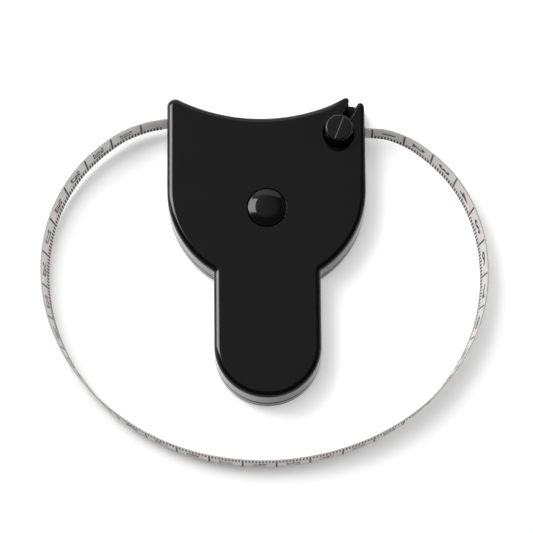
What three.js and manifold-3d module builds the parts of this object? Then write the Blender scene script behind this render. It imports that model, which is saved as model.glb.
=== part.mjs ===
// Retractable body tape measure: a flat two-shell case with a concave cradle edge and a handle,
// a spring drum held by a push-button brake, and a tape that loops back to a lock peg.
// Millimetres, +Z up. The origin lies on the rear face, on the drum's axis. The handle points along -Y.

import * as THREE from "three";
import { mergeVertices } from "three/addons/utils/BufferGeometryUtils.js";
import Module from "manifold-3d";

const wasm = await Module();
wasm.setup();

// Clearances
const FIT = 0.3; // between pieces that are fitted together or run on each other
const SIDE_PLAY = 0.2; // tape to the drum's flange
const TABLE_GAP = 0.2; // lower edge of the free tape to the table

// Tape
const TAPE_WIDTH = 8;
const TAPE_THICK = 0.4;
const TAPE_LENGTH = 1500;
const LEAN_SIDE = 1.95; // how far the upper edge leans out where the loop runs along Y
const LEAN_WALL = 0.4; // and what the case adds to that before the tape has settled
const TWIST_RUN = 4; // run inside the case in which the tape takes that lean
const SETTLE_FROM = 30; // free run after which the tape starts to come down to the table
const SETTLE_TO = 90; // and after which it lies on it

// Case, seen from the front
const DRUM_ROOM = 5.95; // drum flange to the round part's inner wall
const ROUND_Y = 5.8; // centre of the round part
const WALL_TAPER = 0.3; // degrees, side walls above the round part
const CRADLE_R = 54.5; // concave edge
const CRADLE_X = -1.15; // its lowest point lies a little to the left of the drum axis
const CRADLE_ROOM = 4.35; // drum flange to the inner wall behind the concave edge
const CORNER_R = 2.4; // left corner of the concave edge
const HOOK_CORNER_R = 4; // right corner, at the hook
const HANDLE_HALF = 15.9;
const HANDLE_REACH = 57.85; // drum axis to the handle's end
const NECK_R = 1; // inner corner between handle and round part

// Case, seen from the side
const FLOOR = 1.5;
const ROOF = 1.5;
const WALL = 1.8;
const EDGE_R = 1.75; // rounded edge of the front
const REAR_EDGE_R = 1.2;
const PARTING_Z = 3.9;
const LAP_SKIRT = 0.75; // outer half of the lapped parting joint
const LAP_HEIGHT = 1.4;
const SHARPEST_CORNER = 0.3;
const RIB_THICK = 1.2;
const RIB_HEIGHT = 2;
const WELL_THICK = 1.2; // wall that closes the drum well off from the handle
const WELL_GAP = 0.8;

// Lock peg and its bay
const PEG_TO_WALL = 8; // peg axis to the side wall's outside
const PEG_BELOW_CRADLE = 5.2; // peg axis to the lowest point of the concave edge
const PEG_R = 4;
const PEG_PROUD = 6.4;
const PEG_TOP_R = 0.45;
const PEG_PLAY = 0.6;
const PEG_SLIT = 0.4; // slit across the head
const PEG_SLIT_ANGLE = 68.5;
const PEG_BASE = 0.8; // uncut material under the tape
const BAY_WALL = 1.2;
const SLOT_WIDTH = 2.5;
const SLOT_SHIFT = 0.4; // slot to the left of the line through the peg's axis
const SLOT_ANGLE = 62.5;
const HOOK_TIP_R = 1.1;
const PRONG_TIP_R = 1.05; // the other side of the slot
const WINDOW_ANGLE = 30; // how far up from +X the rear shell's window reaches

// Drum and power spring
const FLANGE_RUN = 0.4; // flange to the case floor
const FLANGE_THICK = 0.7;
const FLANGE_LIP = 2.1; // flange beyond the wound tape
const HUB_R = 15.2;
const HUB_WALL = 0.8;
const COVER_THICK = 0.7;
const COVER_RIB = 0.8;
const ANCHOR_SLIT = 1.2;
const STRIP_THICK = 0.2;
const STRIP_TURNS = 7;
const TAB = 1; // hooked end of the power spring

// Push button, brake and return spring
const BUTTON_HOLE_R = 5.95;
const BUTTON_PROUD = 1.2;
const BUTTON_DOME_R = 22;
const BUTTON_EDGE_R = 0.35; // rounded edge of the dome
const BUTTON_TRAVEL = 1.5;
const BRAKE_R = 9;
const BRAKE_THICK = 0.5;
const BUTTON_FLANGE = 0.8;
const ARBOR_R = 4.8;
const ARBOR_BORE_R = 3.4;
const STEM_R = 2;
const KEY_WIDTH = 1.2;
const KEY_DEPTH = 3.3;
const COIL_WIRE = 0.5;
const COIL_TURNS = 5;

// Case screws
const SCREW_R = 1.1;
const SCREW_HEAD_R = 2.1;
const SCREW_HEAD = 1.3;
const SCREW_SUNK = 0.4; // head below the rear face
const SCREW_CROWN = 0.4; // sloped edge of the head
const SCREW_TIP_ROOM = 1.4; // screw tip to the underside of the roof
const BOSS_R = 2.8;
const BOSS_TO_WALL = 2; // left boss to the side wall's inside
const BOSS_BELOW_CRADLE = 9.6; // left boss to the lowest point of the concave edge
const BOSS_TOP_Z = 5.5; // where the rear bosses meet the front ones

// Heights, from the rear face up
const flangeZ = FLOOR + FLANGE_RUN;
const drumFloorZ = flangeZ + FLANGE_THICK;
const tapeZ = drumFloorZ + SIDE_PLAY;
const tapeTopZ = tapeZ + TAPE_WIDTH;
const roofZ = tapeTopZ + FIT;
const caseTopZ = roofZ + ROOF;
const rearRimZ = PARTING_Z - FIT / 2;
const frontRimZ = PARTING_Z + FIT / 2;
const lipTopZ = rearRimZ + LAP_HEIGHT;
const coverZ = roofZ - FIT - COVER_THICK;
const brakeTopZ = coverZ - FIT;
const buttonFlangeTopZ = brakeTopZ - BRAKE_THICK - FIT;
const buttonFlangeZ = buttonFlangeTopZ - BUTTON_FLANGE;
const arborTopZ = buttonFlangeZ - BUTTON_TRAVEL - FIT;
const stripZ = drumFloorZ + FIT;
const stripTopZ = arborTopZ - FIT;
const screwHeadZ = SCREW_SUNK + SCREW_HEAD;
const screwTipZ = roofZ - SCREW_TIP_ROOM;
const windowZ = tapeZ - FIT;
const below = -1; // starts a cut under the rear face
const above = caseTopZ + 1; // ends a cut over the front face

// Free tape, hand-picked at the middle of its width: from beside the left wall, round the handle's end
// and up the right side. The last points belong to the tape's own end, which goes on into the peg.
const loopRoute = [
  [-36.2, 26.7],
  [-44.2, 23.2],
  [-55.6, 13.3],
  [-63.2, 0.2],
  [-66.3, -14.6],
  [-64.9, -29.7],
  [-59.4, -43.8],
  [-50.4, -56],
  [-38.6, -65.6],
  [-25, -72.2],
  [-10.2, -75.6],
  [5, -75.9],
  [19.9, -73.2],
  [34, -67.5],
  [46.4, -58.8],
  [56.2, -47.2],
  [62.6, -33.5],
  [64.8, -18.5],
  [62.5, -3.5],
];
const endRoute = [
  [55.6, 9.9],
  [44.5, 20.2],
  [36.6, 23.8],
];
const EXIT_BELOW_CRADLE = 0.1; // tape's slit in the left wall, under the concave edge's lowest point
const EXIT_SLIT = 2;
const ENTRY_OVER_PEG = 1.8; // where the tape's end passes the right wall, over the peg's axis
const ENTRY_LEAD = 2.5; // run inside the wall before it turns up to the peg

function routeCurve(route) {
  return new THREE.CatmullRomCurve3(route.map(([x, y]) => new THREE.Vector3(x, y, 0)), false, "centripetal");
}

// Plan places, from the wound tape outwards
const rollInnerR = HUB_R + FIT;
const woundLength = TAPE_LENGTH - routeCurve([...loopRoute, ...endRoute]).getLength();
const rollR = Math.sqrt(rollInnerR ** 2 + (woundLength * TAPE_THICK) / Math.PI);
const flangeR = rollR + FLANGE_LIP;
const roundR = flangeR + DRUM_ROOM + WALL;
const cradleLow = flangeR + CRADLE_ROOM + WALL;
const cradleY = cradleLow + CRADLE_R;
const handleEndY = HANDLE_HALF - HANDLE_REACH;
const hubInnerR = HUB_R - HUB_WALL;
const buttonR = BUTTON_HOLE_R - FIT;
const pegX = roundR - PEG_TO_WALL;
const pegY = cradleLow - PEG_BELOW_CRADLE;
const pegHoleR = PEG_R + PEG_PLAY;
const bayR = pegHoleR + BAY_WALL;
const wellR = flangeR + WELL_GAP;
const farOut = roundR + HANDLE_REACH; // longer than the case, for cuts that run out of it
const screwPlaces = {
  case_screw_left: [WALL + BOSS_TO_WALL + BOSS_R - roundR, cradleLow - BOSS_BELOW_CRADLE],
  case_screw_right: [pegX - bayR - BOSS_R - FIT, cradleLow - WALL - BOSS_R + FIT],
  case_screw_handle: [0, handleEndY - BOSS_R],
};

// X of the right wall's outside at a height on the page; the left wall mirrors it.
function wallX(y) {
  const taper = radians(WALL_TAPER);
  return (roundR - (y - ROUND_Y) * Math.sin(taper)) / Math.cos(taper);
}

const exitY = cradleLow - EXIT_BELOW_CRADLE;
const entryY = pegY + ENTRY_OVER_PEG;
const exitX = -wallX(exitY);
const entryX = wallX(entryY);

// Facets
const ROUND_STEPS = 40;
const SMALL_STEPS = 24;
const EDGE_STEPS = 4;
const OUTLINE_STEPS = { handle: 10, neck: 4, round: 14, corner: 6, cradle: 10 };
const COIL_STEPS = 12;
const TAPE_STEPS = 80;
const TURN_STEPS = 8;

// Finishes
const blackAbs = { color: 0x202123, roughness: 0.22, metalness: 0 };
const blackPeg = { color: 0x262729, roughness: 0.35, metalness: 0 };
const whiteTape = { color: 0xefebea, roughness: 0.5, metalness: 0 };
const whiteAcetal = { color: 0xe6e3da, roughness: 0.4, metalness: 0 };
const springSteel = { color: 0x8f9296, roughness: 0.3, metalness: 1 };
const brakeRubber = { color: 0x3a3836, roughness: 0.9, metalness: 0 };
const zincSteel = { color: 0xb4b6ba, roughness: 0.35, metalness: 1 };

function radians(degrees) {
  return (degrees * Math.PI) / 180;
}

// Solids and meshes
function solid(geometry) {
  const bare = geometry.clone();
  bare.deleteAttribute("normal");
  bare.deleteAttribute("uv");
  const merged = mergeVertices(bare, 1e-4);
  return new wasm.Manifold(
    new wasm.Mesh({
      numProp: 3,
      vertProperties: new Float32Array(merged.attributes.position.array),
      triVerts: new Uint32Array(merged.index.array),
    }),
  );
}

function meshOf(name, made, finish) {
  const { vertProperties, triVerts } = made.getMesh();
  const geometry = new THREE.BufferGeometry();
  geometry.setAttribute("position", new THREE.BufferAttribute(vertProperties, 3));
  geometry.setIndex(new THREE.BufferAttribute(triVerts, 1));
  geometry.computeVertexNormals();
  const mesh = new THREE.Mesh(geometry, new THREE.MeshStandardMaterial(finish));
  mesh.name = name;
  return mesh;
}

// A closed profile of [radius, height] points turned round the Z axis.
function turned(profile, steps = ROUND_STEPS) {
  const points = profile.map(([r, z]) => new THREE.Vector2(r, z));
  if (profile[0][0] > 0) points.push(points[0].clone());
  return solid(new THREE.LatheGeometry(points, steps).rotateX(Math.PI / 2));
}

function cylinder(r, z0, z1, steps = SMALL_STEPS) {
  return turned([[0, z0], [r, z0], [r, z1], [0, z1]], steps);
}

function box(x0, x1, y0, y1, z0, z1) {
  const geometry = new THREE.BoxGeometry(x1 - x0, y1 - y0, z1 - z0);
  return solid(geometry.translate((x0 + x1) / 2, (y0 + y1) / 2, (z0 + z1) / 2));
}

function prism(shape, z0, z1, curveSegments = SMALL_STEPS) {
  const options = { depth: z1 - z0, bevelEnabled: false, curveSegments };
  return solid(new THREE.ExtrudeGeometry(shape, options).translate(0, 0, z0));
}

// Case outline
function addArc(points, x, y, r, from, to, steps) {
  for (let i = 0; i <= steps; i += 1) {
    const a = radians(from + ((to - from) * i) / steps);
    points.push(new THREE.Vector2(x + r * Math.cos(a), y + r * Math.sin(a)));
  }
}

// Centre of the circle that rounds the corner between the right wall and a cradle edge centred at an X.
function cornerCentre(inset, r, cradleX) {
  const taper = radians(WALL_TAPER);
  const along = new THREE.Vector2(-Math.sin(taper), Math.cos(taper));
  const out = new THREE.Vector2(Math.cos(taper), Math.sin(taper));
  const start = out.multiplyScalar(roundR - inset - r).add(new THREE.Vector2(0, ROUND_Y));
  const toCradle = start.clone().sub(new THREE.Vector2(cradleX, cradleY));
  const reach = CRADLE_R + inset + r;
  const half = toCradle.dot(along);
  const run = -half - Math.sqrt(half * half - toCradle.lengthSq() + reach * reach);
  return start.addScaledVector(along, run);
}

// Right half of the outline drawn in by an inset, from the handle's end up to the cradle's lowest point.
function halfOutline(inset, cradleX, outerCornerR) {
  const half = [];
  addArc(half, 0, handleEndY, HANDLE_HALF - inset, -90, 0, OUTLINE_STEPS.handle);
  const neckX = HANDLE_HALF + NECK_R;
  const neckY = ROUND_Y - Math.sqrt((roundR + NECK_R) ** 2 - neckX ** 2);
  const neckAngle = THREE.MathUtils.radToDeg(Math.atan2(ROUND_Y - neckY, -neckX));
  addArc(half, neckX, neckY, NECK_R + inset, 180, neckAngle, OUTLINE_STEPS.neck);
  addArc(half, 0, ROUND_Y, roundR - inset, neckAngle - 180, WALL_TAPER, OUTLINE_STEPS.round);
  const cornerR = Math.max(outerCornerR - inset, SHARPEST_CORNER);
  const corner = cornerCentre(inset, cornerR, cradleX);
  const cornerEnd = THREE.MathUtils.radToDeg(Math.atan2(cradleY - corner.y, cradleX - corner.x));
  addArc(half, corner.x, corner.y, cornerR, WALL_TAPER, cornerEnd, OUTLINE_STEPS.corner);
  addArc(half, cradleX, cradleY, CRADLE_R + inset, cornerEnd - 180, -90, OUTLINE_STEPS.cradle);
  return half;
}

// The whole outline, anticlockwise. The left half is drawn as a right one and mirrored.
function caseOutline(inset) {
  const right = halfOutline(inset, CRADLE_X, HOOK_CORNER_R);
  const left = halfOutline(inset, -CRADLE_X, CORNER_R).slice(1, -1).reverse();
  return [...right, ...left.map((p) => new THREE.Vector2(-p.x, p.y))];
}

// A closed solid through outlines that hold the same number of points, from the lowest up.
function loft(rings) {
  const count = rings[0].points.length;
  const position = rings.flatMap(({ points, z }) => points.flatMap((p) => [p.x, p.y, z]));
  const index = [];
  for (let k = 0; k + 1 < rings.length; k += 1) {
    for (let i = 0; i < count; i += 1) {
      const a = k * count + i;
      const b = k * count + ((i + 1) % count);
      index.push(a, b, b + count, a, b + count, a + count);
    }
  }
  const topStart = (rings.length - 1) * count;
  for (const [a, b, c] of THREE.ShapeUtils.triangulateShape(rings[0].points, [])) {
    index.push(a, c, b);
  }
  for (const [a, b, c] of THREE.ShapeUtils.triangulateShape(rings.at(-1).points, [])) {
    index.push(topStart + a, topStart + b, topStart + c);
  }
  const geometry = new THREE.BufferGeometry();
  geometry.setAttribute("position", new THREE.Float32BufferAttribute(position, 3));
  return solid(geometry.setIndex(index));
}

function outlineBlock(inset, z0, z1) {
  const points = caseOutline(inset);
  return loft([
    { points, z: z0 },
    { points, z: z1 },
  ]);
}

// A block with one rounded edge: at the top for the front shell, at the bottom for the rear.
function roundedBlock(z0, z1, edge, atTop) {
  const rings = [];
  for (let i = 0; i <= EDGE_STEPS; i += 1) {
    const a = ((i / EDGE_STEPS) * Math.PI) / 2;
    const inset = edge * (1 - Math.cos(a));
    const rise = edge * (1 - Math.sin(a));
    rings.push({ points: caseOutline(inset), z: atTop ? z1 - rise : z0 + rise });
  }
  if (atTop) return loft([{ points: caseOutline(0), z: z0 }, ...rings]);
  return loft([...rings.reverse(), { points: caseOutline(0), z: z1 }]);
}

// Bay of the lock peg: a round well that a slot opens to the concave edge.
function atPeg(made) {
  return made.translate([pegX, pegY, 0]);
}

// Slot from the peg's well out through the concave edge.
function pegSlot(width, z0) {
  const slot = box(0, farOut, SLOT_SHIFT - width / 2, SLOT_SHIFT + width / 2, z0, above);
  return atPeg(slot.rotate([0, 0, SLOT_ANGLE]));
}

// The solid material round the bay, grown by some room.
function bayBlock(room) {
  const r = bayR + room;
  const well = cylinder(r, below, above, ROUND_STEPS);
  const corner = box(0, farOut, -r, farOut, below, above);
  return atPeg(well.add(corner)).add(pegSlot(SLOT_WIDTH + 2 * (BAY_WALL + room), below));
}

function pegWell(z0) {
  return atPeg(cylinder(pegHoleR, z0, above, ROUND_STEPS));
}

// Wedge under the hook, in which the tape swings between the slot and the right wall.
function swingRoom(toAngle, z0, z1) {
  const wedge = new THREE.Shape();
  wedge.moveTo(0, 0);
  wedge.lineTo(farOut, 0);
  wedge.lineTo(farOut * Math.cos(radians(toAngle)), farOut * Math.sin(radians(toAngle)));
  return atPeg(prism(wedge, z0, z1));
}

// What is trimmed off to round a tip beside the slot, on its left (1) or right (-1) side. The tip's circle
// touches the slot's side, and lies at a distance from the centre of the round edge that it runs into.
function tipTrim(side, tipR, centre, distance, z0) {
  const slot = radians(SLOT_ANGLE);
  const along = new THREE.Vector2(Math.cos(slot), Math.sin(slot));
  const aside = new THREE.Vector2(-along.y, along.x).multiplyScalar(side);
  const toTip = side * SLOT_SHIFT + SLOT_WIDTH / 2 + tipR;
  const start = new THREE.Vector2(pegX, pegY).addScaledVector(aside, toTip);
  const toCentre = centre.clone().sub(start);
  const reach = toCentre.dot(along);
  const run = reach - side * Math.sqrt(reach ** 2 - toCentre.lengthSq() + distance ** 2);
  const tip = start.addScaledVector(along, run);
  const out = centre.clone().sub(tip).setLength(side);
  const inSlot = tip.clone().addScaledVector(aside, -tipR - SLOT_WIDTH / 2);
  const past = 2 * SLOT_WIDTH;
  const trim = new THREE.Shape();
  trim.absarc(tip.x, tip.y, tipR, slot - (side * Math.PI) / 2, out.angle(), side < 0);
  trim.lineTo(tip.x + past * out.x, tip.y + past * out.y);
  trim.lineTo(inSlot.x + past * along.x, inSlot.y + past * along.y);
  trim.lineTo(inSlot.x, inSlot.y);
  return prism(trim, z0, above);
}

function hookTrim() {
  const corner = cornerCentre(0, HOOK_CORNER_R, CRADLE_X);
  return tipTrim(-1, HOOK_TIP_R, corner, HOOK_CORNER_R - HOOK_TIP_R, below);
}

function prongTrim(z0) {
  const cradle = new THREE.Vector2(CRADLE_X, cradleY);
  return tipTrim(1, PRONG_TIP_R, cradle, CRADLE_R + PRONG_TIP_R, z0);
}

// Slit in the left wall that lets the tape out.
function exitSlit() {
  const low = exitY - EXIT_SLIT / 2;
  return box(-farOut, exitX + 2 * WALL, low, low + EXIT_SLIT, windowZ, roofZ);
}

// Wall that keeps the wound tape out of the handle.
function drumWell(z0, z1) {
  const outer = wellR + WELL_THICK;
  const ring = turned([[wellR, z0], [outer, z0], [outer, z1], [wellR, z1]]);
  return ring.intersect(box(-HANDLE_HALF, HANDLE_HALF, -farOut, 0, z0, z1));
}

function frontShell() {
  const cavity = outlineBlock(WALL, below, roofZ).subtract(bayBlock(0));
  const lap = outlineBlock(LAP_SKIRT, below, lipTopZ + FIT).subtract(bayBlock(0));
  let shell = roundedBlock(frontRimZ, caseTopZ, EDGE_R, true).subtract(cavity).subtract(lap);
  for (const [x, y] of Object.values(screwPlaces)) {
    const boss = cylinder(BOSS_R, BOSS_TOP_Z + FIT, roofZ + ROOF / 2);
    shell = shell.add(boss.translate([x, y, 0]));
  }
  shell = shell.add(drumWell(lipTopZ + FIT, roofZ + ROOF / 2));
  for (const [x, y] of Object.values(screwPlaces)) {
    const pilot = cylinder(SCREW_R + FIT, below, screwTipZ + FIT);
    shell = shell.subtract(pilot.translate([x, y, 0]));
  }
  return shell
    .subtract(pegWell(below))
    .subtract(pegSlot(SLOT_WIDTH, below))
    .subtract(swingRoom(SLOT_ANGLE, below, roofZ))
    .subtract(hookTrim())
    .subtract(prongTrim(below))
    .subtract(exitSlit())
    .subtract(cylinder(BUTTON_HOLE_R, roofZ - FIT, above, ROUND_STEPS));
}

// Post in the rear shell that the drum turns on and the power spring is hooked to.
function arbor() {
  const post = turned([
    [ARBOR_BORE_R, FLOOR / 2],
    [ARBOR_R, FLOOR / 2],
    [ARBOR_R, arborTopZ],
    [ARBOR_BORE_R, arborTopZ],
  ]);
  const keyWay = KEY_WIDTH + 2 * FIT;
  const keyZ = buttonFlangeZ - KEY_DEPTH - BUTTON_TRAVEL - FIT;
  const springSlit = STRIP_THICK + 2 * FIT;
  return post
    .subtract(box(-farOut, farOut, -keyWay / 2, keyWay / 2, keyZ, above))
    .subtract(box(-springSlit / 2, springSlit / 2, 0, farOut, stripZ - FIT, above));
}

function rearShell() {
  const cavity = outlineBlock(WALL, FLOOR, above).subtract(bayBlock(0));
  const lip = outlineBlock(LAP_SKIRT + FIT, FLOOR / 2, lipTopZ).subtract(bayBlock(FIT));
  let shell = roundedBlock(0, rearRimZ, REAR_EDGE_R, false).add(lip).subtract(cavity);
  shell = shell.add(arbor()).add(drumWell(FLOOR / 2, lipTopZ));
  for (const share of [1 / 3, 2 / 3]) {
    const y = THREE.MathUtils.lerp(-wellR - WELL_THICK, handleEndY, share);
    const half = HANDLE_HALF - WALL + FIT;
    shell = shell.add(box(-half, half, y, y + RIB_THICK, FLOOR / 2, FLOOR + RIB_HEIGHT));
  }
  for (const [x, y] of Object.values(screwPlaces)) {
    const boss = cylinder(BOSS_R, FLOOR / 2, BOSS_TOP_Z);
    shell = shell.add(boss.translate([x, y, 0]));
  }
  for (const [x, y] of Object.values(screwPlaces)) {
    const sink = cylinder(SCREW_HEAD_R + FIT, below, screwHeadZ + FIT);
    const hole = cylinder(SCREW_R + FIT, below, above);
    shell = shell.subtract(sink.add(hole).translate([x, y, 0]));
  }
  const innerSwing = swingRoom(SLOT_ANGLE, windowZ, above).intersect(outlineBlock(WALL, windowZ, above));
  return shell
    .subtract(pegWell(FLOOR))
    .subtract(pegSlot(SLOT_WIDTH, FLOOR))
    .subtract(prongTrim(FLOOR))
    .subtract(innerSwing)
    .subtract(swingRoom(WINDOW_ANGLE, windowZ, above))
    .subtract(exitSlit());
}

function caseScrew() {
  return turned(
    [
      [0, SCREW_SUNK],
      [SCREW_HEAD_R - SCREW_CROWN, SCREW_SUNK],
      [SCREW_HEAD_R, SCREW_SUNK + SCREW_CROWN],
      [SCREW_HEAD_R, screwHeadZ],
      [SCREW_R, screwHeadZ],
      [SCREW_R, screwTipZ - SCREW_R],
      [0, screwTipZ],
    ],
    SMALL_STEPS,
  );
}

// Push button: a domed cap with a brake flange, a guide stem and two keys that stop it turning.
function pushButton() {
  const topZ = caseTopZ + BUTTON_PROUD;
  const profile = [
    [0, buttonFlangeZ],
    [BRAKE_R, buttonFlangeZ],
    [BRAKE_R, buttonFlangeTopZ],
    [buttonR, buttonFlangeTopZ],
  ];
  const edgeX = buttonR - BUTTON_EDGE_R;
  const domeZ = topZ - BUTTON_DOME_R;
  const edgeZ = domeZ + Math.sqrt((BUTTON_DOME_R - BUTTON_EDGE_R) ** 2 - edgeX ** 2);
  const rim = Math.atan2(edgeZ - domeZ, edgeX);
  for (let i = 0; i <= EDGE_STEPS; i += 1) {
    const a = (i / EDGE_STEPS) * rim;
    profile.push([edgeX + BUTTON_EDGE_R * Math.cos(a), edgeZ + BUTTON_EDGE_R * Math.sin(a)]);
  }
  for (let i = 1; i < EDGE_STEPS; i += 1) {
    const a = THREE.MathUtils.lerp(rim, Math.PI / 2, i / EDGE_STEPS);
    profile.push([BUTTON_DOME_R * Math.cos(a), domeZ + BUTTON_DOME_R * Math.sin(a)]);
  }
  profile.push([0, topZ]);
  const stemZ = FLOOR + BUTTON_TRAVEL + FIT;
  const stem = cylinder(STEM_R, stemZ, buttonFlangeTopZ);
  const keyZ = buttonFlangeZ - KEY_DEPTH;
  const key = box(ARBOR_BORE_R + FIT, ARBOR_R, -KEY_WIDTH / 2, KEY_WIDTH / 2, keyZ, buttonFlangeTopZ);
  return turned(profile).add(stem).add(key).add(key.rotate([0, 0, 180]));
}

function brakeRing() {
  const z = brakeTopZ - BRAKE_THICK;
  const inner = buttonR + FIT;
  return turned([[inner, z], [BRAKE_R, z], [BRAKE_R, brakeTopZ], [inner, brakeTopZ]]);
}

// Return spring of the button: a helix between the case floor and the button's flange.
class CoilPath extends THREE.Curve {
  getPoint(t) {
    const a = t * COIL_TURNS * 2 * Math.PI;
    const r = (STEM_R + ARBOR_BORE_R) / 2;
    const low = FLOOR + FIT + COIL_WIRE / 2;
    const high = buttonFlangeZ - FIT - COIL_WIRE / 2;
    return new THREE.Vector3(r * Math.cos(a), r * Math.sin(a), low + (high - low) * t);
  }
}

function returnSpring() {
  const section = new THREE.Shape();
  section.absarc(0, 0, COIL_WIRE / 2, 0, 2 * Math.PI);
  const options = { steps: COIL_TURNS * COIL_STEPS, curveSegments: 3, extrudePath: new CoilPath() };
  return solid(new THREE.ExtrudeGeometry(section, options));
}

// Drum: a flange that carries the tape's lower edge, and a hub that holds the power spring.
function tapeDrum() {
  const bore = ARBOR_R + FIT;
  const hubTopZ = coverZ - FIT;
  const drum = turned([
    [bore, flangeZ],
    [flangeR, flangeZ],
    [flangeR, drumFloorZ],
    [HUB_R, drumFloorZ],
    [HUB_R, hubTopZ],
    [hubInnerR, hubTopZ],
    [hubInnerR, drumFloorZ],
    [bore, drumFloorZ],
  ]);
  const half = ANCHOR_SLIT / 2;
  return drum.subtract(box(-half, half, hubInnerR - FIT, HUB_R + FIT, drumFloorZ, above));
}

// Cover of the hub. The brake ring bears on its underside.
function drumCover() {
  const inner = buttonR + 2 * FIT;
  const rib = hubInnerR - FIT;
  return turned([
    [inner, coverZ],
    [rib - COVER_RIB, coverZ],
    [rib - COVER_RIB, coverZ - 2 * FIT],
    [rib, coverZ - 2 * FIT],
    [rib, coverZ],
    [HUB_R, coverZ],
    [HUB_R, coverZ + COVER_THICK],
    [inner, coverZ + COVER_THICK],
  ]);
}

// A flat strip on edge along plan points, as a closed outline of both its faces.
function stripShape(points, thick) {
  const side = (sign) =>
    points.map((p, i) => {
      const before = points[Math.max(i - 1, 0)];
      const after = points[Math.min(i + 1, points.length - 1)];
      const along = after.clone().sub(before).normalize();
      return new THREE.Vector2(p.x - sign * along.y * (thick / 2), p.y + sign * along.x * (thick / 2));
    });
  return new THREE.Shape([...side(-1), ...side(1).reverse()]);
}

// Power spring: a spiral hooked to the arbor inside and to the hub outside.
function powerSpring() {
  const stepsPerTurn = 20;
  const innerR = ARBOR_R + 2 * FIT;
  const outerR = hubInnerR - 2 * FIT;
  const steps = STRIP_TURNS * stepsPerTurn;
  const points = [new THREE.Vector2(0, innerR - TAB)];
  for (let i = 0; i <= steps; i += 1) {
    const a = Math.PI / 2 + (i / stepsPerTurn) * 2 * Math.PI;
    const r = innerR + ((outerR - innerR) * i) / steps;
    points.push(new THREE.Vector2(r * Math.cos(a), r * Math.sin(a)));
  }
  points.push(new THREE.Vector2(0, outerR + TAB));
  return prism(stripShape(points, STRIP_THICK), stripZ, stripTopZ);
}

// Tape, as it lies: wound on the hub, led to the left wall, free on the table, and held by the peg.
function tapeRoll() {
  return turned([[rollInnerR, tapeZ], [rollR, tapeZ], [rollR, tapeTopZ], [rollInnerR, tapeTopZ]]);
}

// A band on edge through plan points, each with its distance along the tape from the nearer wall, which is
// negative inside the case. The tape leans out as it leaves the case, and comes down to the table further on.
function band(points, distances) {
  const position = [];
  points.forEach((p, i) => {
    const before = points[Math.max(i - 1, 0)];
    const after = points[Math.min(i + 1, points.length - 1)];
    const along = after.clone().sub(before).normalize();
    const out = new THREE.Vector2(along.y, -along.x);
    const free = THREE.MathUtils.smoothstep(distances[i], SETTLE_FROM, SETTLE_TO);
    const twist = THREE.MathUtils.smoothstep(distances[i], -TWIST_RUN, 0);
    const lean = twist * (LEAN_WALL * (1 - free) + LEAN_SIDE * out.x ** 2);
    const low = THREE.MathUtils.lerp(tapeZ, TABLE_GAP, free);
    const high = low + Math.sqrt(TAPE_WIDTH ** 2 - lean ** 2);
    for (const [face, edge] of [[-1, -1], [1, -1], [1, 1], [-1, 1]]) {
      const shift = (face * TAPE_THICK) / 2 + (edge * lean) / 2;
      position.push(p.x + out.x * shift, p.y + out.y * shift, edge < 0 ? low : high);
    }
  });
  const index = [];
  const last = (points.length - 1) * 4;
  for (let i = 0; i < last; i += 4) {
    for (let k = 0; k < 4; k += 1) {
      const a = i + k;
      const b = i + ((k + 1) % 4);
      index.push(a, a + 4, b + 4, a, b + 4, b);
    }
  }
  index.push(0, 1, 2, 0, 2, 3);
  index.push(last, last + 2, last + 1, last, last + 3, last + 2);
  const geometry = new THREE.BufferGeometry();
  geometry.setAttribute("position", new THREE.Float32BufferAttribute(position, 3));
  return solid(geometry.setIndex(index));
}

function runs(points) {
  let sum = 0;
  return points.map((p, i) => {
    if (i > 0) sum += p.distanceTo(points[i - 1]);
    return sum;
  });
}

// The free tape from wall to wall, split where the peg's end of it begins.
const exitPoint = [exitX - FIT, exitY];
const entryPoint = [entryX + FIT, entryY];
const freeCurve = routeCurve([exitPoint, ...loopRoute, ...endRoute, entryPoint]);
const freePlan = freeCurve.getSpacedPoints(TAPE_STEPS).map((p) => new THREE.Vector2(p.x, p.y));
const freeRuns = runs(freePlan);
const fromWall = freeRuns.map((run) => Math.min(run, freeRuns.at(-1) - run));
const splitAt = (() => {
  const [x, y] = loopRoute.at(-1);
  const far = freePlan.map((p) => Math.hypot(p.x - x, p.y - y));
  return far.indexOf(Math.min(...far));
})();

function tapeLoop() {
  return band(freePlan.slice(0, splitAt + 1), fromWall.slice(0, splitAt + 1));
}

// The peg's end of the tape: from the free loop through the right wall, round into the peg's slit.
function tapeEnd() {
  const slit = radians(PEG_SLIT_ANGLE);
  const mouth = PEG_R + 2 * FIT;
  const slitPoint = (r) => new THREE.Vector2(pegX + r * Math.cos(slit), pegY + r * Math.sin(slit));
  const free = freePlan.slice(splitAt);
  const entry = free.at(-1);
  const lead = entry.clone().sub(free.at(-2)).setLength(ENTRY_LEAD);
  const turn = new THREE.CubicBezierCurve(
    entry,
    entry.clone().add(lead),
    slitPoint(mouth + FIT),
    slitPoint(PEG_R - FIT),
  );
  const inPeg = [...turn.getPoints(TURN_STEPS).slice(1), slitPoint(FIT - PEG_R)];
  const gap = free[1].clone().sub(free[0]).setLength(FIT);
  const points = [free[0].clone().add(gap), ...free.slice(1), ...inPeg];
  const inside = runs([entry, ...inPeg]).slice(1);
  return band(points, [...fromWall.slice(splitAt), ...inside.map((run) => -run)]);
}

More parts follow.
